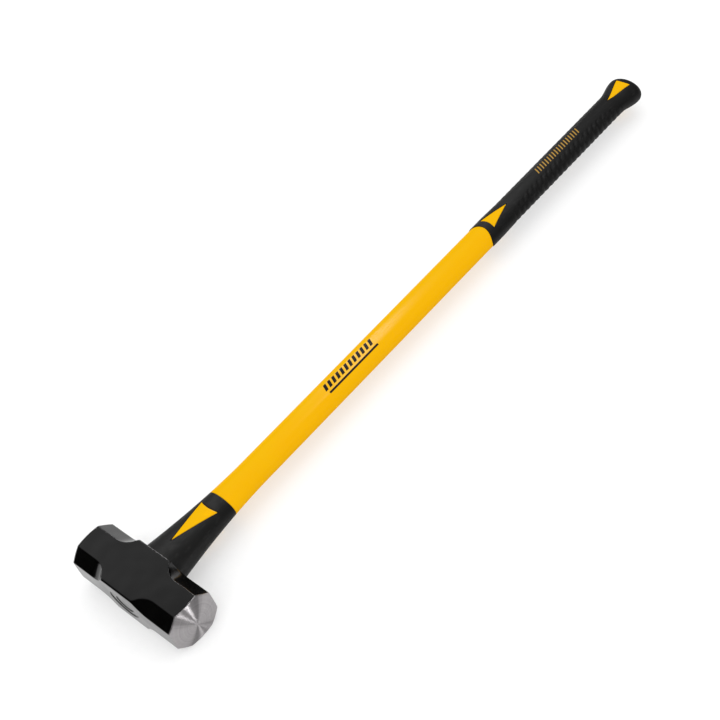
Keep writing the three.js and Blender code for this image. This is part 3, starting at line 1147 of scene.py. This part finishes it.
def make_grip_rubber():
    """The same rubber with fine ribs on the ridges and a plain gold mark on the smooth panels."""
    g = Graph("grip_rubber")
    place = g.place()
    x, y, z = g.split(place)
    colour, rough, height = rubber_base(g, place)
    phase = g.node("Attribute", attribute_name="ridge_phase").outputs["Fac"]
    mask = g.node("Attribute", attribute_name="ridge_mask").outputs["Fac"]
    ribs = g.math("SINE", g.times(phase, 2 * math.pi * RIBS_PER_RIDGE))
    ribs = g.times(g.times(ribs, 0.05), mask)
    seam = mould_seam(g, z)
    height = g.plus(g.plus(height, ribs), g.times(seam, 0.07))
    mark = slanted_bars(g, x, y, **GRIP_MARK)
    gold = g.times(mark, g.between(g.noise(place, 0.9, 3), 0.2, 0.4))
    colour = g.blend(gold, colour, GOLD)
    height = g.math("SUBTRACT", height, g.times(mark, 0.15))
    g.set(Base_Color=colour, Roughness=rough, Normal=g.bump(height), Specular_IOR_Level=RUBBER_GLOSS)
    return g.material


def make_resin_finish():
    g = Graph("poured_resin")
    place = g.place()
    cloud = g.noise(place, 0.12, 3)
    pits = g.between(g.cells(place, 0.45), 0.04, 0.1, 0, 1)
    colour = g.blend(cloud, grey(0.012), grey(0.025, 0.05))
    rough = g.between(g.noise(place, 0.4, 3), 0.3, 0.7, 0.12, 0.24)
    height = g.plus(g.times(cloud, 0.08), g.times(pits, 0.04))
    g.set(Base_Color=colour, Roughness=rough, Normal=g.bump(height))
    return g.material


def make_glass_fibre():
    g = Graph("glass_fibre")
    place = g.place()
    strands = g.noise(g.stretched(place, (0.02, 1, 1)), 3.0, 5, 0.65)
    colour = g.blend(strands, (0.5, 0.44, 0.24, 1), (0.8, 0.76, 0.56, 1))
    rough = g.between(strands, 0.3, 0.7, 0.3, 0.5)
    g.set(Base_Color=colour, Roughness=rough, Normal=g.bump(g.times(strands, 0.05)))
    return g.material


def make_foam():
    g = Graph("soft_foam")
    place = g.place()
    cells = g.cells(place, 1.3)
    colour = g.blend(cells, grey(0.02), grey(0.06, 0.02))
    rough = g.between(cells, 0.1, 0.6, 0.8, 0.95)
    g.set(Base_Color=colour, Roughness=rough, Normal=g.bump(g.times(cells, 0.2)))
    return g.material


# ---- the object ----

def dress(piece, material, slot, *nodes):
    """Gives a piece its material, hangs it on the root body and hides the CAD nodes it stands in for."""
    piece.data.materials.append(material)
    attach(piece, "root")
    if nodes:
        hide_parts(*nodes)


def build_hammer():
    rubber = make_rubber()
    steel = make_turned_steel()
    dress(make_head(), make_enamel(), "head_paint", "head")
    dress(make_face("striking_face_near", -1), steel, "bare_steel")
    dress(make_face("striking_face_far", 1), steel, "bare_steel")
    dress(make_collar(), rubber, "black_rubber", "overstrike_collar")
    dress(make_jacket(), make_yellow(), "yellow_jacket", "shaft_jacket")
    dress(make_grip(), make_grip_rubber(), "black_rubber", "grip")
    dress(make_resin(), make_resin_finish(), "resin", "eye_resin")
    for node, material in (("core_rod", make_glass_fibre()), ("eye_dam", make_foam())):
        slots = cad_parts[node].data.materials
        slots.clear()
        slots.append(material)


# ---- floor and light ----

FLOOR_REACH = 12
FLOOR_DROP = 0.0002        # how far the floor lies below the hammer
FLOOR_GLOW = 0.42          # light of the floor's own, which keeps the shadows pale


def make_floor():
    mesh = bpy.data.meshes.new("floor")
    corners = [(x * FLOOR_REACH, y * FLOOR_REACH, 0) for x, y in ((-1, -1), (1, -1), (1, 1), (-1, 1))]
    mesh.from_pydata(corners, [], [(0, 1, 2, 3)])
    floor = bpy.data.objects.new("floor", mesh)
    bpy.context.scene.collection.objects.link(floor)
    floor.location.z = -FLOOR_DROP
    g = Graph("pale_floor")
    cloud = g.noise(g.place(), 0.002, 2)
    g.set(Base_Color=g.blend(cloud, grey(0.5), grey(0.52)), Roughness=0.9, Specular_IOR_Level=0.1,
          Emission_Color=grey(1), Emission_Strength=FLOOR_GLOW)
    mesh.materials.append(g.material)


def make_lamp(name, target, direction, distance, size, power, spread=180):
    """A rectangular lamp, a distance from the target in a direction, its first side as near X as can be."""
    data = bpy.data.lights.new(name, "AREA")
    data.shape = "RECTANGLE"
    data.size, data.size_y = size
    data.energy = power
    data.spread = math.radians(spread)
    lamp = bpy.data.objects.new(name, data)
    bpy.context.scene.collection.objects.link(lamp)
    back = Vector(direction).normalized()
    across = back.cross(Vector((1, 0, 0))).normalized()
    along = across.cross(back)
    turn = Matrix((along, across, back)).transposed().to_4x4()
    lamp.matrix_world = Matrix.Translation(Vector(target) + back * distance) @ turn
    lamp.visible_camera = False
    return lamp


AMBIENT = 1.4
SKY_ZONES = (
    # height of the direction (-1 straight down, 1 straight up) and brightness in reflections
    (-1.0, 1.0), (-0.02, 1.0), (0.02, 0.01), (0.35, 0.01), (0.6, 0.55),
    (0.72, 0.92), (0.82, 0.56), (1.0, 0.4),
)


def make_world():
    """Even light on matt surfaces, and a studio with a dark band at eye level in reflections."""
    world = bpy.data.worlds.new("studio")
    bpy.context.scene.world = world
    world.use_nodes = True
    g = Nodes(world.node_tree)
    direction = g.node("TexCoord").outputs["Generated"]
    height = g.node("SeparateXYZ", {0: direction}).outputs["Z"]
    share = g.node("MapRange", {"Value": height, "From Min": -1}).outputs["Result"]
    ramp = g.node("ValToRGB", {0: share})
    marks = ramp.color_ramp.elements
    while len(marks) < len(SKY_ZONES):
        marks.new(0.5)
    for mark, (level, brightness) in zip(marks, SKY_ZONES):
        mark.position = (level + 1) / 2
        mark.color = grey(brightness)
    reflected = g.node("Background", {"Color": ramp.outputs["Color"]}).outputs[0]
    even = g.node("Background", {"Color": (1, 1, 1, 1), "Strength": AMBIENT}).outputs[0]
    is_reflection = g.node("LightPath").outputs["Is Glossy Ray"]
    chosen = g.node("MixShader", {0: is_reflection, 1: even, 2: reflected}).outputs[0]
    g.node("OutputWorld", {"Surface": chosen})


# Lamps that draw bright streaks on the near striking face: name, direction from the face, and power
FACE_LAMPS = (
    ("upper_face_lamp", (0.206, -0.976, 0.055), 0.03),
    ("side_face_lamp", (-0.148, -0.987, 0.055), 0.02),
)
FACE_LAMP_TARGET = (-0.01, -0.08, 0.03)
FACE_LAMP_DISTANCE = 1.52
FACE_LAMP_SIZE = (0.14, 0.14)
FACE_LAMP_SPREAD = 8
# Lamp that draws the long highlight on the yellow shaft
SHAFT_LAMP_TARGET = (0.394, 0, 0.04)
SHAFT_LAMP_DIRECTION = (0.393, 0.5, 0.77)
SHAFT_LAMP_DISTANCE = 1.4
SHAFT_LAMP_SIZE = (0.14, 1.6)
SHAFT_LAMP_POWER = 19


def make_lights():
    make_world()
    for name, direction, power in FACE_LAMPS:
        make_lamp(name, FACE_LAMP_TARGET, direction, FACE_LAMP_DISTANCE, FACE_LAMP_SIZE, power,
                  FACE_LAMP_SPREAD)
    shaft_lamp = make_lamp("shaft_lamp", SHAFT_LAMP_TARGET, SHAFT_LAMP_DIRECTION, SHAFT_LAMP_DISTANCE,
                           SHAFT_LAMP_SIZE, SHAFT_LAMP_POWER)
    shaft_lamp.visible_diffuse = False
    bpy.context.scene.view_settings.view_transform = "Standard"


build_hammer()
make_floor()
make_lights()
